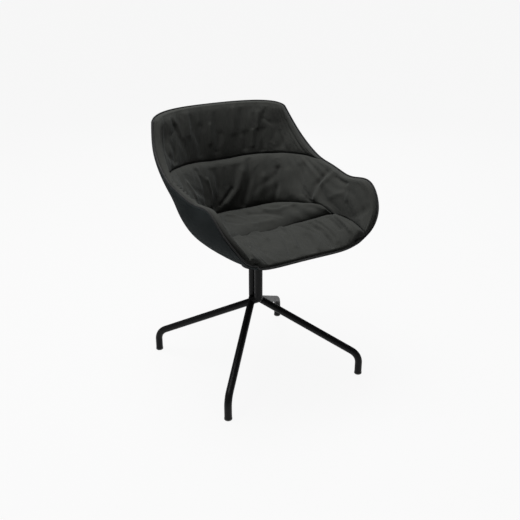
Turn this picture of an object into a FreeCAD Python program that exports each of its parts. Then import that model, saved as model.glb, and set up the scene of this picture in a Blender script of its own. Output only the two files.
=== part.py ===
import FreeCAD, Part
import math
import os

# Pedestal swivel armchair: a padded bucket shell that turns on a twin-post floor frame of bent steel tube.
# Millimetres. Origin on the floor under the swivel axis, +Z up, the sitter looks along -Y.

os.makedirs("parts", exist_ok=True)
V = FreeCAD.Vector

# Floor frame
foot_circle_radius = 330.0
leg_diameter = 22.0
leg_wall = 2.0
leg_bend_radius = 42.0
leg_corner_height = 66.0
hub_height = 229.5
post_diameter = 25.0
post_wall = 2.0
post_spacing = 34.0

# Floor glides
glide_height = 6.0
glide_overhang = 0.6
glide_edge = 1.6
glide_stem_length = 22.0
glide_stem_clearance = 0.1

# Swivel bearing, stacked from the seat plate down
seat_plate_gap = 11.5
seat_plate_thickness = 4.0
seat_plate_width = 164.0
seat_plate_depth = 144.0
seat_plate_corner = 22.0
thrust_washer_thickness = 2.0
thrust_washer_radius = 23.0
bush_flange_thickness = 2.0
bush_flange_radius = 20.0
bush_wall = 3.0
bush_length = 11.0
spindle_radius = 10.0
running_clearance = 0.05
housing_radius = 25.0
housing_height = 30.0
housing_cavity_depth = 9.0
housing_cavity_radius = 16.5
retaining_washer_thickness = 1.2
retaining_washer_radius = 14.5
circlip_thickness = 1.4
circlip_radius = 13.0
circlip_depth = 1.4
circlip_opening = 5.0
spindle_tail = 1.2
post_plate_thickness = 6.0
post_plate_radius = 44.0

# Seat fixings
screw_spacing_x = 124.0
screw_spacing_y = 96.0
screw_radius = 3.0
screw_head_radius = 5.5
screw_head_height = 3.4
screw_socket_radius = 2.0
screw_socket_depth = 2.0
insert_radius = 5.5
spacer_radius = 12.0

# Bucket shell
shell_thickness = 10.0
shell_rim_thickness = 4.5
cover_thickness = 2.2
piping_size = 4.4
piping_clearance = 0.45

# Shell shape: where its middle line and its rim pass
lip_reach = 266.0
lip_height = 455.0
pan_height = 408.0
back_reach = 271.0
back_height = 783.0
arm_half_width = 257.0
arm_height = 611.0
arm_reach = 200.0
corner_half_width = 164.0
shoulder_half_width = 226.0
shoulder_drop = 16.0
shoulder_reach = 195.0

# Padding
pad_clearance = 0.8
pad_rim_height = 7.0
pad_seam_height = 14.0
front_pad_thickness = 40.0
rear_pad_thickness = 42.0
lumbar_pad_thickness = 36.0
arm_pad_thickness = 16.0
upper_pad_thickness = 19.0

# Seams between the pads. Shares are in the shell's own coordinates: across runs from -1 at the left rim to 1
# at the right rim, along runs from 0 at the front lip to 1 at the top edge. A seam's line lists how far along
# the shell it lies, from the middle out to the rim.
seam_gap_share = 0.002
seat_half_share = 0.60
arm_seam_share = 0.57
junction_depth_share = 0.22
front_pad_share = 0.94
cross_seam_shares = [0.33, 0.331, 0.337, 0.351, 0.361, 0.366, 0.360, 0.292, 0.185, 0.120, 0.083]
upper_seam_shares = [0.788, 0.790, 0.797, 0.803, 0.808, 0.811, 0.814, 0.813, 0.808, 0.797, 0.765]

# What the shell's shape is made of: its rises from one named height to the next
lip_rise = lip_height - pan_height
back_rise = back_height - pan_height
corner_height = lip_height + 0.34 * lip_rise
arm_rise = arm_height - corner_height
arm_spread = arm_half_width - corner_half_width
shoulder_height = back_height - shoulder_drop
shoulder_rise = shoulder_height - arm_height
arm_length = arm_reach + shoulder_reach

# Each rib of the shell starts on the middle line (y, z) and ends on the rim (x, y, z).
middle_line = [
    (-lip_reach, lip_height),
    (-0.763 * lip_reach, pan_height + 0.64 * lip_rise),
    (-0.406 * lip_reach, pan_height + 0.21 * lip_rise),
    (-0.038 * lip_reach, pan_height),
    (0.295 * back_reach, pan_height + 0.008 * back_rise),
    (0.561 * back_reach, pan_height + 0.064 * back_rise),
    (0.716 * back_reach, pan_height + 0.197 * back_rise),
    (0.793 * back_reach, pan_height + 0.384 * back_rise),
    (0.860 * back_reach, pan_height + 0.576 * back_rise),
    (0.926 * back_reach, pan_height + 0.789 * back_rise),
    (back_reach, back_height),
]
rim_line = [
    (corner_half_width, -1.034 * lip_reach, corner_height),
    (corner_half_width + 0.376 * arm_spread, -1.053 * lip_reach, corner_height + 0.170 * arm_rise),
    (corner_half_width + 0.677 * arm_spread, -1.038 * lip_reach, corner_height + 0.428 * arm_rise),
    (corner_half_width + 0.914 * arm_spread, -0.940 * lip_reach, corner_height + 0.729 * arm_rise),
    (arm_half_width, -arm_reach, corner_height + 1.014 * arm_rise),
    (0.988 * arm_half_width, 0.172 * arm_length - arm_reach, corner_height + 0.979 * arm_rise),
    (arm_half_width, 0.329 * arm_length - arm_reach, arm_height),
    (1.004 * arm_half_width, 0.476 * arm_length - arm_reach, arm_height + 0.064 * shoulder_rise),
    (0.996 * arm_half_width, 0.641 * arm_length - arm_reach, arm_height + 0.160 * shoulder_rise),
    (1.097 * shoulder_half_width, 0.858 * arm_length - arm_reach, arm_height + 0.506 * shoulder_rise),
    (shoulder_half_width, shoulder_reach, shoulder_height),
]

# How far each rib runs straight across from the middle line, as shares of the half width, and how far it runs
# straight into the rim, as shares of the arm's height above the pan.
middle_run_shares = [0.37, 0.467, 0.545, 0.584, 0.603, 0.603, 0.584, 0.545, 0.506, 0.467, 0.428]
rim_run_shares = [0.148, 0.222, 0.345, 0.443, 0.493, 0.493, 0.453, 0.414, 0.365, 0.296, 0.177]

# The direction in which each rib meets the rim.
rim_lean = [
    (0.80, -0.10, 0.60),
    (0.75, -0.10, 0.65),
    (0.55, -0.20, 0.80),
    (0.30, -0.25, 0.92),
    (0.10, -0.15, 1.00),
    (0.08, -0.15, 1.00),
    (0.08, -0.30, 0.90),
    (0.08, -0.60, 0.75),
    (0.15, -0.85, 0.45),
    (0.30, -0.90, 0.00),
    (0.45, -0.60, -0.66),
]

# Points of the grids that the curved faces are drawn through
across_steps = 24
along_steps = 30
pad_steps = 14
piping_steps = 18


def blend(low, high, share):
    return low + (high - low) * share


def smooth_curve(points):
    """A natural cubic curve through evenly spaced points, as a function of 0 to 1."""
    last = len(points) - 1
    size = len(points[0])
    bend = [[0.0] * size for _ in points]
    for axis in range(size):
        share = [0.0] * (last + 1)
        known = [0.0] * (last + 1)
        for i in range(1, last):
            jump = points[i + 1][axis] - 2 * points[i][axis] + points[i - 1][axis]
            pivot = 4 - share[i - 1]
            share[i] = 1 / pivot
            known[i] = (6 * jump - known[i - 1]) / pivot
        for i in range(last - 1, 0, -1):
            bend[i][axis] = known[i] - share[i] * bend[i + 1][axis]

    def at(place):
        scaled = min(max(place, 0.0), 1.0) * last
        i = min(int(scaled), last - 1)
        far = scaled - i
        near = 1 - far
        values = []
        for axis in range(size):
            value = points[i][axis] * near + points[i + 1][axis] * far
            value += bend[i][axis] * (near**3 - near) / 6
            value += bend[i + 1][axis] * (far**3 - far) / 6
            values.append(value)
        return values

    return at


middle_at = smooth_curve(middle_line)
rim_at = smooth_curve(rim_line)
middle_run_at = smooth_curve([(arm_half_width * share,) for share in middle_run_shares])
rim_run_at = smooth_curve([((arm_height - pan_height) * share,) for share in rim_run_shares])
rim_lean_at = smooth_curve(rim_lean)
cross_seam_at = smooth_curve([(share,) for share in cross_seam_shares])
upper_seam_at = smooth_curve([(share,) for share in upper_seam_shares])


def shell_point(across, along):
    """A point of the shell's inner face: a cubic rib from the middle line out to the rim."""
    y, z = middle_at(along)
    middle = V(0, y, z)
    rim = V(*rim_at(along))
    lean = V(*rim_lean_at(along)).normalize()
    flat = middle + V(middle_run_at(along)[0], 0, 0)
    upright = rim - lean * rim_run_at(along)[0]
    far = abs(across)
    near = 1 - far
    point = middle * near**3 + flat * (3 * far * near**2) + upright * (3 * far**2 * near) + rim * far**3
    if across < 0:
        point.x = -point.x
    return point


def shell_normal(across, along):
    """The unit normal of the inner face, towards the sitter, taken a little inside the rim and its corners."""
    step = 0.001
    inset = 0.04
    a = across * (1 - inset)
    b = blend(inset, 1 - inset, along)
    sideways = shell_point(a + step, b) - shell_point(a - step, b)
    forward = shell_point(a, b + step) - shell_point(a, b - step)
    return sideways.cross(forward).normalize()


def offset_point(across, along, height):
    return shell_point(across, along) + shell_normal(across, along) * height


def shell_outside(across, along):
    """How far the shell's outer face lies behind its inner face: full in the middle, thin at the rim."""
    middle = (1 - abs(across) ** 5) * (1 - abs(2 * along - 1) ** 9)
    return -shell_rim_thickness - (shell_thickness - shell_rim_thickness) * middle


def grid_surface(point_at, steps_a, steps_b):
    rows = []
    for i in range(steps_a + 1):
        rows.append([point_at(i / steps_a, j / steps_b) for j in range(steps_b + 1)])
    surface = Part.BSplineSurface()
    surface.interpolate(rows)
    return surface


def solid_between(lower, upper):
    """The closed solid between two four-sided surfaces, with ruled faces round its border."""
    faces = [lower.toShape(), upper.toShape()]
    borders = []
    for surface in (lower, upper):
        u_low, u_high, v_low, v_high = surface.bounds()
        sides = [surface.uIso(u_low), surface.uIso(u_high), surface.vIso(v_low), surface.vIso(v_high)]
        borders.append([side.toShape() for side in sides])
    for below, above in zip(borders[0], borders[1]):
        faces.append(Part.makeRuledSurface(below, above))
    skin = Part.makeShell(faces)
    skin.sewShape()
    solid = Part.makeSolid(skin)
    if solid.Volume < 0:
        solid.reverse()
    return solid


def layer(region, low, high, steps_a, steps_b):
    """A solid over a region of the shell's inner face, between two heights above that face."""

    def lower(a, b):
        across, along = region(a, b)
        return offset_point(across, along, low(across, along))

    def upper(a, b):
        across, along = region(a, b)
        return offset_point(across, along, high(across, along, a, b))

    return solid_between(grid_surface(lower, steps_a, steps_b), grid_surface(upper, steps_a, steps_b))


def whole_shell(a, b):
    return 2 * a - 1, b


def crown(share):
    """0 at both ends of a pad and 1 over its middle."""
    return 1 - abs(2 * share - 1) ** 3


def front_seam(across):
    """The cross seam of the seat, and past its ends the creases that run forward to the rim."""
    return cross_seam_at(abs(across))[0]


def back_seam(across):
    """The seam where the seat meets the back padding, which comes forward to the cross seam at its ends."""
    return front_seam(across) + junction_depth_share * (1 - abs(across / seat_half_share) ** 3) ** 0.3


def seam_height(across, along):
    """The height of the padding along its seams, which is lower at the rim."""
    inside = (1 - abs(across) ** 8) * (1 - abs(2 * along - 1) ** 12)
    return blend(pad_rim_height, pad_seam_height, inside)


def region_between(left, right, bottom, top):
    """A four-sided region: across between two values, along between two seams."""

    def region(a, b):
        across = blend(left + seam_gap_share, right - seam_gap_share, a)
        return across, blend(bottom(across) + seam_gap_share, top(across) - seam_gap_share, b)

    return region


def padding(region, thickness_at, steps):
    def low(across, along):
        return pad_clearance

    def high(across, along, a, b):
        edge = seam_height(across, along)
        return blend(edge, thickness_at(across, a, edge), crown(b))

    return layer(region, low, high, steps, pad_steps)


def side_crown(thickness):
    """A pad that is crowned across as well as along."""

    def thickness_at(across, a, edge):
        return blend(edge, thickness, crown(a))

    return thickness_at


def lumbar_thickness(across, a, edge):
    return blend(lumbar_pad_thickness, arm_pad_thickness, (across / arm_seam_share) ** 2)


def arm_thickness(across, a, edge):
    share = (abs(across) - arm_seam_share) / (1 - arm_seam_share)
    return blend(arm_pad_thickness, edge, share**3)


def at_upper_seam(across):
    return upper_seam_at(abs(across))[0]


def at_lip(across):
    return 0.0


def at_top(across):
    return 1.0


def make_pads():
    rear = region_between(-arm_seam_share, arm_seam_share, front_seam, back_seam)
    lumbar = region_between(-arm_seam_share, arm_seam_share, back_seam, at_upper_seam)
    right_arm = region_between(arm_seam_share, 1.0, front_seam, at_upper_seam)
    left_arm = region_between(-1.0, -arm_seam_share, front_seam, at_upper_seam)
    front = region_between(-front_pad_share, front_pad_share, at_lip, front_seam)
    upper = region_between(-1.0, 1.0, at_upper_seam, at_top)
    return {
        "front_seat_pad": padding(front, side_crown(front_pad_thickness), 2 * pad_steps),
        "rear_seat_pad": padding(rear, side_crown(rear_pad_thickness), pad_steps),
        "lumbar_pad": padding(lumbar, lumbar_thickness, pad_steps),
        "left_arm_pad": padding(left_arm, arm_thickness, pad_steps),
        "right_arm_pad": padding(right_arm, arm_thickness, pad_steps),
        "upper_back_pad": padding(upper, side_crown(upper_pad_thickness), pad_steps),
    }


def cylinder(radius, low, high, x=0.0, y=0.0):
    return Part.makeCylinder(radius, high - low, V(x, y, low))


def ring(outer, inner, low, high, x=0.0, y=0.0):
    return cylinder(outer, low, high, x, y).cut(cylinder(inner, low, high, x, y))


def largest(shape):
    return max(shape.Solids, key=lambda solid: solid.Volume)


def screw_places():
    places = []
    for x in (-screw_spacing_x / 2, screw_spacing_x / 2):
        for y in (-screw_spacing_y / 2, screw_spacing_y / 2):
            places.append((x, y))
    return places


def leg_rod(start, foot, radius):
    """A round rod along a leg's centre line: a straight slope from the hub, one bend, and an upright foot."""
    corner = V(foot.x, foot.y, leg_corner_height)
    down = V(0, 0, -1)
    slope = (corner - start).normalize()
    past_mitre = start - slope * (2 * leg_diameter)
    half_turn = math.acos(slope.dot(down)) / 2
    tangent = leg_bend_radius * math.tan(half_turn)
    bend_in = corner - slope * tangent
    bend_out = corner + down * tangent
    inward = (down - slope).normalize()
    bend_middle = corner + inward * (leg_bend_radius / math.cos(half_turn) - leg_bend_radius)
    path = Part.Wire(
        [
            Part.LineSegment(past_mitre, bend_in).toShape(),
            Part.Arc(bend_in, bend_middle, bend_out).toShape(),
            Part.LineSegment(bend_out, foot).toShape(),
        ]
    )
    section = Part.Wire(Part.makeCircle(radius, past_mitre, slope))
    return path.makePipeShell([section], True, True)


def half_space(side):
    """Everything on one side of the mitre plane x = 0."""
    size = 3 * foot_circle_radius
    low_x = 0 if side > 0 else -size
    return Part.makeBox(size, 2 * size, size, V(low_x, -size, -size / 3))


def foot_place(side_x, side_y):
    reach = foot_circle_radius * math.sqrt(0.5)
    return V(side_x * reach, side_y * reach, glide_height)


def make_floor_frame(post_top):
    """Four bent legs, the short bridge tubes between them, and the two posts, all coped to fit each other."""
    rod = leg_diameter / 2
    bore = rod - leg_wall
    front_post_place = V(0, -post_spacing / 2, hub_height)
    rear_post_place = V(0, post_spacing / 2, hub_height)
    pieces = {}
    rear_rods = {}
    bridges = []
    filled = []
    for name, side in (("left", -1), ("right", 1)):
        keep = half_space(side)
        foot = foot_place(side, 1)
        rear_rods[side] = leg_rod(front_post_place, foot, rod).common(keep)
        pieces["rear_leg_" + name] = largest(rear_rods[side].cut(leg_rod(front_post_place, foot, bore)))
        filled.append(rear_rods[side])
    for name, side in (("left", -1), ("right", 1)):
        foot = foot_place(side, -1)
        full = leg_rod(rear_post_place, foot, rod).common(half_space(side))
        coped = full.cut(rear_rods[side])
        hollow = leg_rod(rear_post_place, foot, bore)
        leg = largest(coped)
        bridge = min(coped.Solids, key=lambda solid: abs(solid.CenterOfMass.x))
        pieces["front_leg_" + name] = largest(leg.cut(hollow))
        bridges.append(bridge.cut(hollow))
        filled.extend([leg, bridge])
    pieces["hub_bridge"] = bridges[0].fuse(bridges[1]).removeSplitter()
    for name, place in (("front_post", front_post_place), ("rear_post", rear_post_place)):
        post = ring(post_diameter / 2, post_diameter / 2 - post_wall, place.z, post_top, place.x, place.y)
        for rod_piece in filled:
            post = post.cut(rod_piece)
        pieces[name] = largest(post)
    return pieces


def make_glides():
    glides = []
    base_radius = leg_diameter / 2 + glide_overhang
    stem_radius = leg_diameter / 2 - leg_wall - glide_stem_clearance
    for side_x in (-1, 1):
        for side_y in (-1, 1):
            place = foot_place(side_x, side_y)
            base = cylinder(base_radius, 0, glide_height, place.x, place.y)
            low_rim = [edge for edge in base.Edges if edge.BoundBox.ZMax < glide_height / 2]
            base = base.makeChamfer(glide_edge, low_rim)
            top = glide_height + glide_stem_length
            stem = cylinder(stem_radius, glide_height, top, place.x, place.y)
            glides.append(base.fuse(stem))
    return Part.makeCompound(glides)


def make_swivel(plate_bottom):
    """The bearing stack under the seat plate, and the plate that closes the tops of the posts."""
    washer_bottom = plate_bottom - thrust_washer_thickness
    flange_top = washer_bottom - running_clearance
    housing_top = flange_top - bush_flange_thickness
    housing_bottom = housing_top - housing_height
    shoulder = housing_bottom + housing_cavity_depth
    bush_bore = spindle_radius + running_clearance
    bush_outside = spindle_radius + bush_wall
    low_flange = shoulder - bush_flange_thickness
    retainer_top = low_flange - running_clearance
    circlip_top = retainer_top - retaining_washer_thickness
    circlip_bottom = circlip_top - circlip_thickness
    groove_radius = spindle_radius - circlip_depth
    spindle_bottom = circlip_bottom - spindle_tail
    plate_top = plate_bottom + seat_plate_thickness
    low_bush_radius = housing_cavity_radius - running_clearance

    housing = cylinder(housing_radius, housing_bottom, housing_top)
    housing = housing.cut(cylinder(housing_cavity_radius, housing_bottom, shoulder))
    housing = housing.cut(cylinder(bush_outside, shoulder, housing_top))
    upper_bush = ring(bush_outside, bush_bore, housing_top - bush_length, housing_top)
    upper_bush = upper_bush.fuse(ring(bush_flange_radius, bush_bore, housing_top, flange_top))
    lower_bush = ring(bush_outside, bush_bore, shoulder, shoulder + bush_length - bush_flange_thickness)
    lower_bush = lower_bush.fuse(ring(low_bush_radius, bush_bore, low_flange, shoulder))
    spindle = cylinder(spindle_radius, spindle_bottom, plate_top)
    spindle = spindle.cut(ring(spindle_radius, groove_radius, circlip_bottom, circlip_top))
    circlip = ring(circlip_radius, groove_radius, circlip_bottom, circlip_top)
    opening = Part.makeBox(
        circlip_opening, circlip_radius, circlip_thickness, V(-circlip_opening / 2, 0, circlip_bottom)
    )
    post_plate_bottom = housing_bottom - post_plate_thickness
    pieces = {
        "post_plate": cylinder(post_plate_radius, post_plate_bottom, housing_bottom),
        "bearing_housing": housing,
        "upper_bush": upper_bush.removeSplitter(),
        "lower_bush": lower_bush.removeSplitter(),
        "thrust_washer": ring(thrust_washer_radius, spindle_radius, washer_bottom, plate_bottom),
        "spindle": spindle,
        "retaining_washer": ring(retaining_washer_radius, spindle_radius, circlip_top, retainer_top),
        "circlip": circlip.cut(opening),
    }
    return pieces, post_plate_bottom


def make_seat_plate(plate_bottom):
    plate = Part.makeBox(
        seat_plate_width,
        seat_plate_depth,
        seat_plate_thickness,
        V(-seat_plate_width / 2, -seat_plate_depth / 2, plate_bottom),
    )
    upright = [edge for edge in plate.Edges if edge.BoundBox.ZLength > seat_plate_thickness / 2]
    plate = plate.makeFillet(seat_plate_corner, upright)
    plate_top = plate_bottom + seat_plate_thickness
    plate = plate.cut(cylinder(spindle_radius, plate_bottom, plate_top))
    for x, y in screw_places():
        plate = plate.cut(cylinder(screw_radius + running_clearance, plate_bottom, plate_top, x, y))
    return plate


def make_shell_and_fixings(plate_bottom):
    """The moulded shell with its threaded inserts, the outer cover, and what screws them to the plate."""
    plate_top = plate_bottom + seat_plate_thickness
    above_pan = pan_height + 2 * shell_thickness

    def cover_outside(across, along):
        return shell_outside(across, along) - cover_thickness

    def inner_face(across, along, a, b):
        return 0.0

    def outer_face(across, along, a, b):
        return shell_outside(across, along)

    shell = layer(whole_shell, shell_outside, inner_face, across_steps, along_steps)
    cover = layer(whole_shell, cover_outside, outer_face, across_steps, along_steps)
    inserts = []
    screws = []
    spacers = []
    for x, y in screw_places():
        hole = cylinder(screw_radius + running_clearance, plate_top, above_pan, x, y)
        insert = cylinder(insert_radius, plate_top, above_pan, x, y).common(shell)
        shell = shell.cut(cylinder(insert_radius, plate_top, above_pan, x, y))
        spacer = cylinder(spacer_radius, plate_top, above_pan, x, y).cut(cover).Solids
        spacer = min(spacer, key=lambda solid: solid.CenterOfMass.z)
        cover = cover.cut(hole)
        inserts.append(insert.cut(hole))
        spacers.append(spacer.cut(hole))
        screw_top = insert.BoundBox.ZMin + shell_thickness * 0.9
        head = cylinder(screw_head_radius, plate_bottom - screw_head_height, plate_bottom, x, y)
        socket_bottom = plate_bottom - screw_head_height
        socket = cylinder(screw_socket_radius, socket_bottom, socket_bottom + screw_socket_depth, x, y)
        shank = cylinder(screw_radius, plate_bottom, screw_top, x, y)
        screws.append(head.fuse(shank).cut(socket))
    return {
        "seat_shell": shell,
        "outer_cover": cover,
        "shell_inserts": Part.makeCompound(inserts),
        "mount_spacers": Part.makeCompound(spacers),
        "seat_screws": Part.makeCompound(screws),
    }


def rim_places():
    """Places along the right half of the rim, from the middle of the lip to the middle of the top edge."""
    side_steps = 4 * piping_steps
    places = [(i / piping_steps, 0.0) for i in range(piping_steps)]
    places += [(1.0, i / side_steps) for i in range(side_steps)]
    places += [(1 - i / piping_steps, 1.0) for i in range(piping_steps + 1)]
    return places


def make_piping():
    """The trim sewn round the rim, over the edges of the shell and its cover."""
    places = rim_places()
    centre_height = -(shell_rim_thickness + cover_thickness) / 2
    points = [offset_point(across, along, centre_height) for across, along in places]
    directions = [(after - before).normalize() for before, after in zip(points, points[1:])]
    half = piping_size / 2
    corners = []
    for i, (across, along) in enumerate(places):
        if i in (0, len(points) - 1):
            ahead = V(1 if i == 0 else -1, 0, 0)
        else:
            ahead = directions[i - 1] + directions[i]
        outward = ahead.cross(shell_normal(across, along)).normalize()
        normal = outward.cross(ahead).normalize()
        centre = points[i] + outward * (half + piping_clearance)
        corners.append(
            [
                centre + outward * (half * a) + normal * (half * b)
                for a, b in ((-1, -1), (1, -1), (1, 1), (-1, 1))
            ]
        )
    halves = []
    for side in (1, -1):
        lines = []
        for k in range(4):
            line = Part.BSplineCurve()
            line.interpolate([V(side * row[k].x, row[k].y, row[k].z) for row in corners])
            lines.append(line.toShape())
        faces = [Part.makeRuledSurface(lines[k], lines[(k + 1) % 4]) for k in range(4)]
        for end in (0, -1):
            loop = [V(side * p.x, p.y, p.z) for p in corners[end]]
            faces.append(Part.Face(Part.makePolygon(loop + [loop[0]])))
        skin = Part.makeShell(faces)
        skin.sewShape()
        half_trim = Part.makeSolid(skin)
        if half_trim.Volume < 0:
            half_trim.reverse()
        halves.append(half_trim)
    return Part.makeCompound(halves)


plate_bottom = pan_height - shell_thickness - cover_thickness - seat_plate_gap - seat_plate_thickness
nodes, post_top = make_swivel(plate_bottom)
nodes.update(make_floor_frame(post_top))
nodes["floor_glides"] = make_glides()
nodes["seat_plate"] = make_seat_plate(plate_bottom)
nodes.update(make_shell_and_fixings(plate_bottom))
nodes.update(make_pads())
nodes["rim_piping"] = make_piping()

for name, shape in nodes.items():
    shape.exportStep("parts/" + name + ".step")
    print(name, "valid" if shape.isValid() else "NOT VALID", len(shape.Solids), round(shape.Volume))
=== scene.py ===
import math

import bpy
import numpy as np
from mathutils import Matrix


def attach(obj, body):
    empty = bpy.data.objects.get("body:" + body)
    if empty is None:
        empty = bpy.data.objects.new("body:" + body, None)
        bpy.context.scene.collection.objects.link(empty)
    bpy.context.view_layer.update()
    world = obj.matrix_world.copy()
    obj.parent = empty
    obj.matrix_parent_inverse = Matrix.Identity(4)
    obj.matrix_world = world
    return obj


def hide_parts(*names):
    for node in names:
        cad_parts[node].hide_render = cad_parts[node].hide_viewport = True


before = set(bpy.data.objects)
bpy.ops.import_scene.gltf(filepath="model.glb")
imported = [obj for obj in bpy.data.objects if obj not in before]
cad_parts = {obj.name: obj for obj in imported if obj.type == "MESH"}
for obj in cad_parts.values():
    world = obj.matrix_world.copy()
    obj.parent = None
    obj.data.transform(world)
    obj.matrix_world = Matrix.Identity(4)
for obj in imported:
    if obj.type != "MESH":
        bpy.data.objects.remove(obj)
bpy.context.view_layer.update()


# The camera stands in front of the chair on its left side as seen, a little above the seat back,
# with a long lens. Its place was solved from the four feet, the column and the mirrored rim.
bpy.ops.object.camera_add(
    location=(-1.050, -1.730, 1.209),
    rotation=(math.radians(67.09), 0, math.radians(-31.64)),
)
camera = bpy.context.object
camera.data.sensor_width = 36
camera.data.lens = 49.85
bpy.context.scene.camera = camera
bpy.context.scene.view_settings.view_transform = "Standard"


class Wire:
    """A number, colour or vector on its way through a finish. Sums on numbers add Math nodes."""

    def __init__(self, finish, socket):
        self.finish = finish
        self.socket = socket

    def sum(self, operation, *values):
        return self.finish.add("ShaderNodeMath", {"operation": operation}, dict(enumerate(values)))

    def __add__(self, other):
        return self.sum("ADD", self, other)

    def __mul__(self, other):
        return self.sum("MULTIPLY", self, other)

    def __abs__(self):
        return self.sum("ABSOLUTE", self)

    def sine(self):
        return self.sum("SINE", self)


class Finish:
    """A material in the making. Every node in it comes from add()."""

    def __init__(self, name, **constants):
        self.material = bpy.data.materials.new(name)
        self.material.use_nodes = True
        self.tree = self.material.node_tree
        self.shader = self.tree.nodes["Principled BSDF"]
        for socket, value in constants.items():
            self.shader.inputs[socket.replace("_", " ")].default_value = value

    def add(self, kind, settings=None, values=None, output=0):
        node = self.tree.nodes.new(kind)
        for name, setting in (settings or {}).items():
            setattr(node, name, setting)
        for socket, value in (values or {}).items():
            if isinstance(value, Wire):
                self.tree.links.new(value.socket, node.inputs[socket])
            else:
                node.inputs[socket].default_value = value
        return Wire(self, node.outputs[output])

    def feed(self, socket, wire):
        self.tree.links.new(wire.socket, self.shader.inputs[socket])

    def blend(self, share, low, high):
        return self.add(
            "ShaderNodeMix", {"data_type": "RGBA"}, {0: share, 6: (*low, 1), 7: (*high, 1)}, 2
        )

    def noise(self, place, scale, detail=2.0):
        return self.add("ShaderNodeTexNoise", {}, {"Vector": place, "Scale": scale, "Detail": detail})

    def relief(self, height, depth):
        """Bumps of the given depth in metres, where height runs from 0 to 1."""
        bump = self.add("ShaderNodeBump", {}, {"Height": height, "Distance": depth, "Strength": 1.0})
        self.feed("Normal", bump)


# The studio: a wide pale floor that runs out to white, one large soft box overhead and a little to
# the left, weak ones beside and behind the chair, and an even pale surround.
bpy.ops.mesh.primitive_circle_add(vertices=96, radius=90, fill_type="NGON")
floor = bpy.context.object
floor.name = "floor"
paper = Finish("studio_paper", Roughness=0.9, Base_Color=(0.42, 0.42, 0.42, 1))
paper.shader.inputs["Specular IOR Level"].default_value = 0.1
rays = paper.add("ShaderNodeLightPath")
seen = rays + paper.add("ShaderNodeLightPath", output=3)
glow = paper.add("ShaderNodeEmission", {}, {"Color": (1, 1, 1, 1), "Strength": 1.0})
lit = Wire(paper, paper.shader.outputs[0])
shown = paper.add("ShaderNodeMixShader", {}, {0: seen * 0.92, 1: lit, 2: glow})
paper.tree.links.new(shown.socket, paper.tree.nodes["Material Output"].inputs["Surface"])
floor.data.materials.append(paper.material)

world = bpy.data.worlds.new("studio")
bpy.context.scene.world = world
world.use_nodes = True
surround = world.node_tree.nodes["Background"]
path = world.node_tree.nodes.new("ShaderNodeLightPath")
level = world.node_tree.nodes.new("ShaderNodeMapRange")
world.node_tree.links.new(path.outputs["Is Camera Ray"], level.inputs["Value"])
level.inputs["To Min"].default_value = 0.16
level.inputs["To Max"].default_value = 0.95
world.node_tree.links.new(level.outputs["Result"], surround.inputs["Strength"])
surround.inputs["Color"].default_value = (1, 1, 1, 1)

for name, place, size, power in (
    ("overhead_box", (-0.30, 0.35, 2.9), 1.7, 92),
    ("side_box", (-2.4, -1.2, 2.0), 1.2, 2),
    ("rear_box", (1.7, 2.5, 1.7), 1.6, 26),
):
    bpy.ops.object.light_add(type="AREA", location=place)
    box = bpy.context.object
    box.name = name
    box.data.shape = "SQUARE"
    box.data.size = size
    box.data.energy = power
    aim = np.array((0, 0, 0.45)) - np.array(place)
    box.rotation_euler = (
        math.acos(-aim[2] / np.linalg.norm(aim)),
        0,
        math.atan2(aim[1], aim[0]) - math.pi / 2,
    )


# Floor frame: four bent legs of round steel tube, coped and welded round two upright posts. The
# tube is shot-blasted and coated with a satin black powder, which leaves a fine orange peel.
def on_object(finish):
    return finish.add("ShaderNodeTexCoord", output=3)


def fine_steel(name, colour, roughness, peel, gloss=0.5, **constants):
    steel = Finish(name, **constants)
    steel.shader.inputs["Specular IOR Level"].default_value = gloss
    place = on_object(steel)
    cloud = steel.noise(place, 14, 3)
    grain = steel.noise(place, 900, 2)
    steel.feed("Base Color", steel.blend(cloud, colour, [c * 1.25 for c in colour]))
    steel.feed("Roughness", cloud * 0.16 + (roughness - 0.08))
    steel.relief(grain, peel)
    return steel.material


def coat(name, material):
    """Puts one material on a piece of the part, in place of what it came with."""
    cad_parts[name].data.materials.clear()
    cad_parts[name].data.materials.append(material)


powder = fine_steel("satin_black_powder", (0.006, 0.006, 0.0065), 0.45, 0.00006, 0.16)
for name in (
    "front_post",
    "rear_post",
    "rear_leg_left",
    "rear_leg_right",
    "front_leg_left",
    "front_leg_right",
    "hub_bridge",
    "post_plate",
    "bearing_housing",
    "seat_plate",
):
    coat(name, powder)


# Glides, bushes and spacers: small moulded parts. The glides and the rubber spacers are black, the
# two flanged bushes are natural acetal.
def moulding(name, colour, roughness):
    plastic = Finish(name)
    place = on_object(plastic)
    cloud = plastic.noise(place, 60, 3)
    plastic.feed("Base Color", plastic.blend(cloud, colour, [c * 1.2 for c in colour]))
    plastic.feed("Roughness", cloud * 0.15 + roughness)
    plastic.relief(plastic.noise(place, 1600, 2), 0.00003)
    return plastic.material


for name, finish in (
    ("floor_glides", moulding("black_glide_plastic", (0.014, 0.014, 0.014), 0.5)),
    ("upper_bush", moulding("natural_acetal", (0.66, 0.65, 0.60), 0.35)),
    ("lower_bush", moulding("natural_acetal_turned", (0.66, 0.65, 0.60), 0.38)),
    ("mount_spacers", moulding("black_rubber", (0.016, 0.016, 0.016), 0.75)),
    ("seat_shell", moulding("black_shell_plastic", (0.020, 0.020, 0.021), 0.6)),
):
    coat(name, finish)


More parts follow.
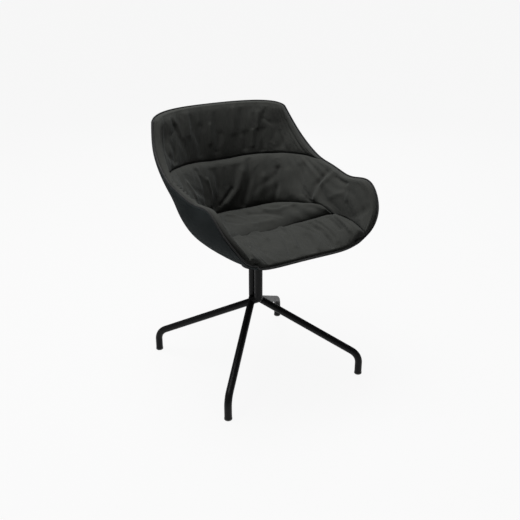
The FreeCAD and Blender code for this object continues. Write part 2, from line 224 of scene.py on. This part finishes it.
# Spindle, washers, circlip, screws and inserts: turned and stamped parts, zinc plated steel and
# brass, with a fine even grain.
zinc = fine_steel("zinc_plate", (0.50, 0.50, 0.51), 0.34, 0.00002, Metallic=1.0)
brass = fine_steel("turned_brass", (0.60, 0.43, 0.17), 0.36, 0.00002, Metallic=1.0)
for name, finish in (
    ("spindle", zinc),
    ("thrust_washer", zinc),
    ("retaining_washer", zinc),
    ("circlip", zinc),
    ("seat_screws", zinc),
    ("shell_inserts", brass),
):
    coat(name, finish)


# Outer cover: one cloth skin over thin foam, stretched round the back of the moulded shell and
# turned in at its rim. The shell's own shape comes first, as ribs from its middle line to its rim.
shell_middle = [
    (-0.266, 0.455), (-0.203, 0.4381), (-0.108, 0.4179), (-0.0101, 0.408), (0.0799, 0.411),
    (0.152, 0.432), (0.194, 0.4819), (0.2149, 0.552), (0.2331, 0.624), (0.2509, 0.7039), (0.271, 0.783),
]
shell_rim = [
    (0.164, -0.275, 0.471), (0.199, -0.2801, 0.4948), (0.227, -0.2761, 0.5309), (0.249, -0.25, 0.5731),
    (0.257, -0.2, 0.613), (0.2539, -0.1321, 0.6081), (0.257, -0.07, 0.611), (0.258, -0.012, 0.621),
    (0.256, 0.0532, 0.636), (0.2479, 0.1389, 0.6899), (0.226, 0.195, 0.767),
]
shell_middle_run = [0.0951, 0.12, 0.1401, 0.1501, 0.155, 0.155, 0.1501, 0.1401, 0.13, 0.12, 0.11]
shell_rim_run = [0.03, 0.0451, 0.07, 0.0899, 0.1001, 0.1001, 0.092, 0.084, 0.0741, 0.0601, 0.0359]
shell_rim_lean = [
    (0.80, -0.10, 0.60), (0.75, -0.10, 0.65), (0.55, -0.20, 0.80), (0.30, -0.25, 0.92),
    (0.10, -0.15, 1.00), (0.08, -0.15, 1.00), (0.08, -0.30, 0.90), (0.08, -0.60, 0.75),
    (0.15, -0.85, 0.45), (0.30, -0.90, 0.00), (0.45, -0.60, -0.66),
]


def smooth_curve(stations):
    """A natural cubic curve through evenly spaced stations, read at shares from 0 to 1."""
    known = np.array(stations, float).reshape(len(stations), -1)
    last = len(known) - 1
    system = np.eye(last + 1)
    jumps = np.zeros_like(known)
    for i in range(1, last):
        system[i, i - 1 : i + 2] = 1, 4, 1
        jumps[i] = 6 * (known[i + 1] - 2 * known[i] + known[i - 1])
    bend = np.linalg.solve(system, jumps)

    def at(share):
        scaled = np.clip(share, 0, 1) * last
        i = np.minimum(scaled.astype(int), last - 1)
        far = (scaled - i)[..., None]
        near = 1 - far
        line = known[i] * near + known[i + 1] * far
        return line + bend[i] * (near**3 - near) / 6 + bend[i + 1] * (far**3 - far) / 6

    return at


middle_at = smooth_curve(shell_middle)
rim_at = smooth_curve(shell_rim)
middle_run_at = smooth_curve(shell_middle_run)
rim_run_at = smooth_curve(shell_rim_run)
rim_lean_at = smooth_curve(shell_rim_lean)


def inner_face(across, along):
    """Points of the shell's inner face: across is -1 to 1 between the rims, along 0 to 1 from lip to top."""
    across, along = np.broadcast_arrays(np.asarray(across, float), np.asarray(along, float))
    middle = np.concatenate([np.zeros(along.shape + (1,)), middle_at(along)], -1)
    rim = rim_at(along)
    lean = rim_lean_at(along)
    lean /= np.linalg.norm(lean, axis=-1, keepdims=True)
    flat = middle + middle_run_at(along) * np.array((1, 0, 0))
    upright = rim - lean * rim_run_at(along)
    far = np.abs(across)[..., None]
    near = 1 - far
    point = middle * near**3 + 3 * flat * far * near**2 + 3 * upright * far**2 * near + rim * far**3
    point[..., 0] *= np.where(across < 0, -1, 1)
    return point


def inner_normal(across, along):
    across = np.asarray(across, float) * 0.96
    along = 0.04 + 0.92 * np.asarray(along, float)
    step = 0.001
    sideways = inner_face(across + step, along) - inner_face(across - step, along)
    forward = inner_face(across, along + step) - inner_face(across, along - step)
    normal = np.cross(sideways, forward)
    return normal / np.linalg.norm(normal, axis=-1, keepdims=True)


def above_shell(across, along, height):
    return inner_face(across, along) + inner_normal(across, along) * np.asarray(height)[..., None]


def grid_faces(number):
    """The four-sided faces between the numbered points of a grid."""
    corners = [number[:-1, :-1], number[1:, :-1], number[1:, 1:], number[:-1, 1:]]
    return np.stack(corners, -1).reshape(-1, 4)


def cloth_mesh(name, points):
    """A mesh of four-sided faces over a grid of points, with its cut pattern in metres as the UV map."""
    rows, columns = points.shape[:2]
    mesh = bpy.data.meshes.new(name)
    number = np.arange(rows * columns).reshape(rows, columns)
    faces = grid_faces(number)
    mesh.from_pydata(points.reshape(-1, 3).tolist(), [], faces.tolist())
    steps_across = np.linalg.norm(np.diff(points, axis=0), axis=-1).mean(1)
    steps_along = np.linalg.norm(np.diff(points, axis=1), axis=-1).mean(0)
    u = np.concatenate([[0], np.cumsum(steps_across)])
    v = np.concatenate([[0], np.cumsum(steps_along)])
    pattern = np.stack(np.meshgrid(u, v, indexing="ij"), -1).reshape(-1, 2)
    layer = mesh.uv_layers.new(name="pattern")
    loops = np.zeros(len(mesh.loops), int)
    mesh.loops.foreach_get("vertex_index", loops)
    layer.data.foreach_set("uv", pattern[loops].astype(np.float32).ravel())
    return mesh


def woven(name, low, high, nap):
    """A dense plain cloth with a short nap: crossed threads, a mottled pile and a bloom at grazing light."""
    cloth = Finish(name, Roughness=0.92, Sheen_Weight=nap, Sheen_Roughness=0.45)
    cloth.shader.inputs["Specular IOR Level"].default_value = 0.06
    cloth.shader.inputs["Sheen Tint"].default_value = (0.75, 0.80, 0.80, 1)
    pattern = cloth.add("ShaderNodeUVMap", {"uv_map": "pattern"})
    u = cloth.add("ShaderNodeSeparateXYZ", {}, {0: pattern}, 0)
    v = cloth.add("ShaderNodeSeparateXYZ", {}, {0: pattern}, 1)
    turn = 2 * math.pi / 0.0011
    threads = abs((u * turn).sine() * (v * turn).sine())
    brushed = cloth.noise(on_object(cloth), 16, 4)
    fleck = cloth.noise(on_object(cloth), 420, 3)
    mottle = brushed * 0.55 + fleck * 0.30 + threads * 0.15
    cloth.feed("Base Color", cloth.blend(mottle, low, high))
    cloth.relief(threads * 0.6 + fleck * 0.4, 0.00025)
    return cloth.material


def select_only(piece):
    bpy.ops.object.select_all(action="DESELECT")
    bpy.context.view_layer.objects.active = piece
    piece.select_set(True)


def finish_piece(piece, material):
    """Gives a piece its cloth and shades it smooth."""
    piece.data.materials.append(material)
    select_only(piece)
    bpy.ops.object.shade_smooth()


def close_under(name, top, under):
    """A closed cushion: the top grid, the underside grid, and a strip of faces between their borders."""
    rows, columns = top.shape[:2]
    count = rows * columns
    mesh = cloth_mesh(name, top)
    number = np.arange(count).reshape(rows, columns)
    border = np.concatenate([number[:-1, 0], number[-1, :-1], number[:0:-1, -1], number[0, :0:-1]])
    quads = grid_faces(number)
    after = np.roll(border, -1)
    sides = np.stack([border, border + count, after + count, after], -1)
    faces = np.concatenate([quads, quads[:, ::-1] + count, sides])
    uv = np.zeros(len(mesh.loops) * 2, np.float32)
    mesh.uv_layers["pattern"].data.foreach_get("uv", uv)
    loops = np.zeros(len(mesh.loops), int)
    mesh.loops.foreach_get("vertex_index", loops)
    pattern = np.zeros((2 * count, 2), np.float32)
    pattern[loops] = uv.reshape(-1, 2)
    pattern[count:] = pattern[:count]
    bpy.data.meshes.remove(mesh)
    closed = bpy.data.meshes.new(name)
    points = np.concatenate([top.reshape(-1, 3), under.reshape(-1, 3)])
    closed.from_pydata(points.tolist(), [], faces.tolist())
    layer = closed.uv_layers.new(name="pattern")
    loops = np.zeros(len(closed.loops), int)
    closed.loops.foreach_get("vertex_index", loops)
    layer.data.foreach_set("uv", pattern[loops].ravel())
    piece = bpy.data.objects.new(name, closed)
    bpy.context.collection.objects.link(piece)
    return piece


def spread(low, high, count, crowd=0.0):
    """Places from low to high, closer together towards both ends as crowd goes to 1."""
    share = np.linspace(0, 1, count)
    crowded = (1 - np.cos(math.pi * share)) / 2
    return low + (high - low) * (share * (1 - crowd) + crowded * crowd)


def shell_depth(across, along):
    """How far the shell's outer face lies behind its inner face."""
    return 0.0045 + 0.0055 * (1 - np.abs(across) ** 5) * (1 - np.abs(2 * along - 1) ** 9)


cover_thickness = 0.0022
hip_bulge = 0.0095
cover_across, cover_along = np.meshgrid(spread(-1, 1, 150, 0.6), spread(0, 1, 180, 0.5), indexing="ij")
cover_depth = shell_depth(cover_across, cover_along)
hip = np.sin(math.pi * np.abs(cover_across) ** 1.3) ** 1.5
hip = hip * np.exp(-(((cover_along - 0.50) / 0.17) ** 4))
cover_depth = cover_depth + hip_bulge * hip
outer = above_shell(cover_across, cover_along, -cover_depth - cover_thickness)
inner = above_shell(cover_across, cover_along, -cover_depth)
cover = close_under("outer_cover_cloth", inner, outer)
cover_cloth = woven("outer_cloth", (0.014, 0.0175, 0.0185), (0.030, 0.036, 0.037), 0.03)
finish_piece(cover, cover_cloth)
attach(cover, "seat")
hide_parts("outer_cover")


# Pads: sewn cloth cases filled with soft fibre, held down along the seams and free between them.
# Each is a sheet cut larger than the form needs, which pressure swells off the shell. The folds are
# then laid on it along lines read off the photograph.
def swell(name, start, cut, held, cap):
    """Where a sheet ends up when it is cut to the flat pattern, held at some points and blown outward."""
    mesh = cloth_mesh(name, start)
    sheet = bpy.data.objects.new(name, mesh)
    bpy.context.collection.objects.link(sheet)
    select_only(sheet)
    sheet.shape_key_add(name="laid")
    pattern = sheet.shape_key_add(name="cut")
    pattern.data.foreach_set("co", cut.astype(np.float32).ravel())
    pins = sheet.vertex_groups.new(name="sewn")
    for i, share in enumerate(held.ravel()):
        if share > 0:
            pins.add([i], float(share), "REPLACE")
    cloth = sheet.modifiers.new("cloth", "CLOTH")
    settings = cloth.settings
    settings.quality = 6
    settings.mass = 0.25
    settings.tension_stiffness = 12
    settings.compression_stiffness = 12
    settings.shear_stiffness = 4
    settings.bending_stiffness = 0.3
    settings.air_damping = 4
    settings.use_pressure = True
    settings.uniform_pressure_force = 1.6
    settings.vertex_group_mass = "sewn"
    settings.rest_shape_key = pattern
    settings.effector_weights.gravity = 0
    cloth.collision_settings.use_collision = False
    cloth.point_cache.frame_end = swell_frames
    for moment in range(1, swell_frames + 1):
        bpy.context.scene.frame_set(moment)
    settled = sheet.evaluated_get(bpy.context.evaluated_depsgraph_get()).data
    ended = np.zeros(len(settled.vertices) * 3, np.float32)
    settled.vertices.foreach_get("co", ended)
    moved = ended.reshape(start.shape) - start
    far = np.linalg.norm(moved, axis=-1, keepdims=True)
    bpy.data.objects.remove(sheet)
    bpy.context.scene.frame_set(1)
    return start + moved * np.minimum(1, cap[..., None] / np.maximum(far, 1e-9))


def flat_cut(points, wider, taller):
    """The flat pattern of a sheet: its own lengths across and along, with some cloth to spare."""
    across = np.linalg.norm(np.diff(points, axis=0), axis=-1)
    along = np.linalg.norm(np.diff(points, axis=1), axis=-1)
    middle_row = points.shape[1] // 2
    u = np.zeros(points.shape[:2])
    v = np.zeros(points.shape[:2])
    u[1:] = np.cumsum(across, 0) * wider
    v[:, 1:] = np.cumsum(along, 1) * taller
    u -= u[points.shape[0] // 2][None, :]
    v -= v[:, middle_row][:, None]
    return np.stack([u, v, np.zeros_like(u)], -1)


swell_frames = 20
most_swell = 0.011
half_seam = 0.0012
deepest_fold_share = 0.55
seat_half_share = 0.60
cross_seam_at = smooth_curve([0.33, 0.331, 0.337, 0.351, 0.361, 0.366, 0.360, 0.292, 0.185, 0.120, 0.083])
upper_seam_at = smooth_curve([0.788, 0.790, 0.797, 0.803, 0.808, 0.811, 0.814, 0.813, 0.808, 0.797, 0.765])


def cross_seam(across):
    """The seam between the two seat pads, then the creases that run forward from its ends to the rim."""
    return cross_seam_at(np.abs(across))[..., 0]


def upper_seam(across):
    return upper_seam_at(np.abs(across))[..., 0]


def band_foot(across):
    """Where the band round the sitter meets the seat: along the back, then forward down both sides."""
    inside = np.clip(1 - np.abs(across / seat_half_share) ** 3, 0, 1)
    return cross_seam(across) + 0.22 * inside**0.3


def near_rim(across, radius):
    """0 at the left and right rims, rising to 1 over the pad's rounded edge."""
    share = np.clip((1 - np.abs(across)) / radius, 0, 1)
    return np.sqrt(1 - (1 - share) ** 2)


def roll(share, low_end, high_end, bluff=0.5):
    """A stuffed roll's section: 0 at both seams and 1 at its crown, with its own steepness at each end."""
    rise = 1 - (1 - np.clip(share / low_end, 0, 1)) ** 2
    fall = 1 - (1 - np.clip((1 - share) / high_end, 0, 1)) ** 2
    return rise**bluff * np.sqrt(fall)


def fold_height(across, along, folds):
    """How far folds lift or sink the cloth. Each has a depth and a width in mm and a line on the shell."""
    face = inner_face(across, along)
    height = np.zeros(across.shape)
    for depth, width, places in folds:
        steps = np.linspace(0, len(places) - 1, 14)
        line = inner_face(*[np.interp(steps, range(len(places)), axis) for axis in zip(*places)])
        nearest = np.full(across.shape, 1.0)
        for start, end in zip(line, line[1:]):
            run = end - start
            along_run = np.clip((face - start) @ run / (run @ run), 0, 1)
            gap = np.linalg.norm(face - start - along_run[..., None] * run, axis=-1)
            nearest = np.minimum(nearest, gap)
        height += depth * 0.001 * np.exp(-((nearest / (width * 0.001)) ** 2))
    return height


def puckers(across, share, count, depth, reach, seed):
    """Small gathers that run away from a pad's two seams and fade out over its crown."""
    chance = np.random.default_rng(seed)
    height = np.zeros(across.shape)
    for far in (share, 1 - share):
        wave = np.zeros(across.shape)
        for times, weight in ((1.0, 0.5), (1.63, 0.35), (2.71, 0.25)):
            turn = chance.uniform(0, 2 * math.pi)
            uneven = 3 * np.sin(5 * across + turn)
            wave += weight * np.sin(2 * math.pi * count * times * across + turn + uneven)
        height += wave * (far / reach) * np.exp(1 - far / reach)
    return height * depth


def finer(grid, times=3):
    """The same smooth surface through more rows and columns of points."""
    for axis in (0, 1):
        lined = np.moveaxis(grid, axis, 0)
        count = (len(lined) - 1) * times + 1
        curve = smooth_curve(lined.reshape(len(lined), -1))
        grid = np.moveaxis(curve(np.linspace(0, 1, count)).reshape(count, *lined.shape[1:]), 0, axis)
    return grid


def make_pad(
    name, across, share, foot, head, seam, full, section, spare, nodes, folds, gathers, calm=0
):
    """Builds one pad over its part of the shell between the lines foot and head, swells it, and adds its
    folds. It is seam high at its border and up to full inside, and where calm is 1 it stays as laid."""
    low = foot(across) + half_seam
    high = head(across) - half_seam
    along = low + (high - low) * share
    height = seam + (full - seam) * section
    start = above_shell(across, along, height)
    edge = np.ones(across.shape)
    edge[2:-2, 2:-2] = 0
    cut = flat_cut(start, *spare)
    cap = most_swell * np.clip((height - seam) / 0.012, 0.1, 1)
    swelled = swell(name + "_sheet", start, cut, edge, cap)
    start = swelled + (start - swelled) * np.reshape(calm, np.shape(calm) + (1,))
    calm = finer(calm + np.zeros(across.shape))
    start, across, along, share, height = [finer(grid) for grid in (start, across, along, share, height)]
    under = above_shell(across, along, np.clip(height / 2, 0.0003, 0.0008))
    creased = fold_height(across, along, folds) + puckers(across, share, *gathers)
    loose = np.clip((height - seam) / 0.003, 0, 1) * (1 - calm)
    outward = inner_normal(across, along)
    above = np.sum((start - inner_face(across, along)) * outward, -1)
    sunk = np.maximum(creased * loose, -deepest_fold_share * above)
    start = start + outward * sunk[..., None]
    pad = close_under(name, start, under)
    finish_piece(pad, pad_cloth)
    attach(pad, "seat")
    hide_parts(*nodes)


pad_cloth = woven("pad_cloth", (0.022, 0.023, 0.021), (0.052, 0.053, 0.049), 0.08)

across, share = np.meshgrid(spread(-1, 1, 80, 0.45), spread(0, 1, 26, 0.5), indexing="ij")
full = 0.010 + 0.040 * (1 - np.abs(across) ** 3)
corner = np.clip((np.abs(across) - 0.62) / 0.38, 0, 1) ** 1.5 * np.clip(1 - share / 0.75, 0, 1)
# The cloth stays as laid towards the two front corners, where a swollen sheet would bunch.
quiet = np.clip((np.abs(across) - 0.45) / 0.5, 0, 1) * np.clip((0.85 - share) / 0.6, 0, 1)
quiet = quiet * quiet * (3 - 2 * quiet)
make_pad(
    "front_seat_cushion", across, share,
    lambda a: np.zeros_like(a), cross_seam,
    0.007, full * (1 - 0.6 * corner), roll(share, 0.9, 0.24, 0.8) * near_rim(across, 0.12),
    (1.08, 1.05), ["front_seat_pad"],
    [
        (7, 7, [(-0.06, 0.31), (-0.06, 0.257), (-0.14, 0.163)]),
        (-6, 8, [(-0.165, 0.29), (-0.2, 0.217), (-0.395, 0.11)]),
        (7, 7, [(0.17, 0.29), (0.145, 0.22), (-0.015, 0.063)]),
        (-6, 8, [(0.08, 0.25), (0.02, 0.157), (-0.15, 0.02)]),
        (6, 7, [(0.26, 0.147), (0.18, 0.02)]),
        (-3, 8, [(0.2, 0.143), (0.11, 0.02)]),
        (7, 7, [(0.485, 0.317), (0.495, 0.237), (0.495, 0.05)]),
        (-6, 8, [(0.41, 0.28), (0.38, 0.16), (0.37, 0.03)]),
        (7, 7, [(0.63, 0.34), (0.665, 0.23), (0.715, 0.12)]),
        (-6, 8, [(0.57, 0.317), (0.595, 0.18)]),
        (6, 7, [(0.73, 0.247), (0.97, 0.11)]),
        (6, 7, [(-0.25, 0.323), (-0.325, 0.25), (-0.59, 0.18)]),
        (-6, 7, [(-0.45, 0.33), (-0.55, 0.23), (-0.75, 0.13)]),
        (-3, 12, [(-0.27, 0.15), (-0.515, 0.04)]),
    ],
    (3.2, 0.0030, 0.18, 11),
    calm=quiet,
)


# Rear seat pad: a flat lens between the cross seam and the band behind the sitter.
lens = np.sin(np.linspace(-math.pi / 2, math.pi / 2, 64)) * (seat_half_share - 0.004)
across, share = np.meshgrid(lens, spread(0, 1, 26, 0.5), indexing="ij")
make_pad(
    "rear_seat_cushion", across, share,
    cross_seam, band_foot,
    0.010, 0.042 - 0.010 * np.abs(across / seat_half_share) ** 2, roll(share, 0.3, 0.3),
    (1.08, 1.06), ["rear_seat_pad"],
    [
        (4, 9, [(-0.085, 0.497), (-0.02, 0.467), (0.04, 0.42)]),
        (4, 10, [(0.26, 0.487), (0.34, 0.457), (0.465, 0.49)]),
        (-3.5, 9, [(0.11, 0.46), (0.24, 0.447), (0.305, 0.41)]),
        (2.5, 8, [(0.53, 0.47), (0.575, 0.41)]),
        (-3, 9, [(-0.135, 0.443), (-0.015, 0.393)]),
        (3, 9, [(0.06, 0.373), (0.215, 0.377)]),
        (-3, 10, [(-0.42, 0.50), (-0.30, 0.42)]),
    ],
    (4.5, 0.0022, 0.14, 23),
)


# Band: one long roll that starts in one arm, passes behind the sitter and ends in the other arm.
across, share = np.meshgrid(spread(-1, 1, 118, 0.35), spread(0, 1, 40, 0.5), indexing="ij")
thick = 0.020 + 0.018 * np.exp(-((np.abs(across) / 0.55) ** 4))
make_pad(
    "arm_and_lumbar_band", across, share,
    band_foot, upper_seam,
    0.008, thick, roll(share, 0.5, 0.13) * near_rim(across, 0.045),
    (1.10, 1.05), ["lumbar_pad", "left_arm_pad", "right_arm_pad"],
    [
        (-7, 11, [(0.255, 0.773), (0.23, 0.687), (0.135, 0.57)]),
        (6, 15, [(0.175, 0.727), (0.1, 0.653), (-0.02, 0.583)]),
        (-5, 7, [(0.05, 0.657), (-0.08, 0.59)]),
        (-5, 15, [(-0.065, 0.763), (-0.075, 0.693), (-0.135, 0.587)]),
        (4, 6, [(-0.235, 0.72), (-0.2, 0.653), (-0.2, 0.597)]),
        (-4, 10, [(-0.34, 0.767), (-0.29, 0.687), (-0.29, 0.62)]),
        (4, 7, [(-0.515, 0.733), (-0.455, 0.66)]),
        (5, 15, [(0.35, 0.693), (0.265, 0.58)]),
        (-6, 9, [(0.49, 0.73), (0.45, 0.657), (0.37, 0.573)]),
        (3, 12, [(0.565, 0.71), (0.49, 0.583)]),
        (-3, 10, [(0.695, 0.733), (0.58, 0.583)]),
        (4, 10, [(0.98, 0.61), (0.765, 0.587), (0.64, 0.517)]),
        (-5, 10, [(0.915, 0.64), (0.72, 0.6), (0.615, 0.527)]),
        (3, 7, [(0.9, 0.467), (0.77, 0.39)]),
        (2, 9, [(0.715, 0.473), (0.82, 0.453)]),
        (-3, 8, [(0.94, 0.567), (0.93, 0.487)]),
        (4, 6, [(-1.0, 0.752), (-0.72, 0.722)]),
        (-3.5, 6, [(-1.0, 0.738), (-0.78, 0.710)]),
        (4.5, 6, [(-1.0, 0.724), (-0.74, 0.686)]),
        (-4, 6, [(-1.0, 0.709), (-0.79, 0.680)]),
        (3.5, 6, [(-1.0, 0.694), (-0.73, 0.656)]),
        (-4, 6, [(-1.0, 0.679), (-0.80, 0.648)]),
        (4, 6, [(-1.0, 0.663), (-0.77, 0.622)]),
        (-3, 6, [(-1.0, 0.648), (-0.82, 0.618)]),
        (3, 6, [(-1.0, 0.630), (-0.80, 0.595)]),
        (-3, 7, [(-1.0, 0.610), (-0.82, 0.578)]),
        (3, 7, [(-1.0, 0.580), (-0.80, 0.560)]),
        (-3, 8, [(-1.0, 0.540), (-0.84, 0.525)]),
        (-3, 10, [(-0.62, 0.70), (-0.56, 0.60), (-0.58, 0.50)]),
    ],
    (4.0, 0.0024, 0.13, 37),
)


# Upper back pad: a thin quilted panel that runs up over the top edge of the shell.
across, share = np.meshgrid(spread(-1, 1, 80, 0.45), spread(0, 1, 26, 0.5), indexing="ij")
make_pad(
    "upper_back_cushion", across, share,
    upper_seam, lambda a: np.ones_like(a) * 1.0012,
    0.007, 0.020 * np.ones_like(across), roll(share, 0.45, 0.16) * near_rim(across, 0.045),
    (1.08, 1.02), ["upper_back_pad"],
    [
        (-4, 10, [(-0.53, 0.943), (-0.52, 0.9), (-0.56, 0.84)]),
        (3.5, 10, [(-0.635, 0.97), (-0.67, 0.87)]),
        (-3.5, 12, [(-0.17, 0.92), (-0.19, 0.827)]),
        (3.5, 6, [(-0.07, 0.923), (-0.085, 0.857)]),
        (-3, 10, [(0.035, 0.883), (-0.015, 0.823)]),
        (-4, 10, [(0.275, 0.88), (0.255, 0.827)]),
        (3.5, 6, [(0.365, 0.89), (0.335, 0.837)]),
        (-4, 9, [(0.48, 0.893), (0.415, 0.823)]),
        (3, 8, [(0.47, 0.957), (0.43, 0.903)]),
        (-3, 9, [(0.695, 0.89), (0.63, 0.837)]),
        (3, 9, [(0.2, 0.973), (0.165, 0.887)]),
        (3, 10, [(-0.34, 0.973), (-0.335, 0.903)]),
    ],
    (4.5, 0.0016, 0.22, 51),
)


# Welt: a round cord in black cloth, sewn into the edge all the way round the rim.
welt_radius = 0.0020
side_steps = 90
end_steps = 60
places = [(i / end_steps, 0.0) for i in range(end_steps)]
places += [(1.0, i / side_steps) for i in range(side_steps)]
places += [(1 - i / end_steps, 1.0) for i in range(end_steps)]
places += [(-i / end_steps, 1.0) for i in range(end_steps)]
places += [(-1.0, 1 - i / side_steps) for i in range(side_steps)]
places += [(-1 + i / end_steps, 0.0) for i in range(end_steps)]
places = np.array(places)
route = above_shell(places[:, 0], places[:, 1], np.full(len(places), -0.0030))
ahead = np.roll(route, -1, 0) - np.roll(route, 1, 0)
outward = np.cross(ahead, inner_normal(places[:, 0], places[:, 1]))
outward /= np.linalg.norm(outward, axis=-1, keepdims=True)
route = route + outward * 0.0016
curve = bpy.data.curves.new("rim_welt", "CURVE")
curve.dimensions = "3D"
curve.bevel_depth = welt_radius
curve.bevel_resolution = 3
line = curve.splines.new("POLY")
line.points.add(len(route) - 1)
line.points.foreach_set("co", np.c_[route, np.ones(len(route))].ravel())
line.use_cyclic_u = True
welt = bpy.data.objects.new("rim_welt", curve)
bpy.context.collection.objects.link(welt)
select_only(welt)
bpy.ops.object.convert(target="MESH")
welt = bpy.context.object
bpy.ops.object.shade_smooth()
black_cord = Finish("black_welt_cloth", Roughness=0.85)
place = on_object(black_cord)
fleck = black_cord.noise(place, 700, 3)
black_cord.feed("Base Color", black_cord.blend(fleck, (0.004, 0.004, 0.004), (0.010, 0.010, 0.010)))
black_cord.relief(fleck, 0.0002)
welt.data.materials.append(black_cord.material)
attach(welt, "seat")
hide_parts("rim_piping")
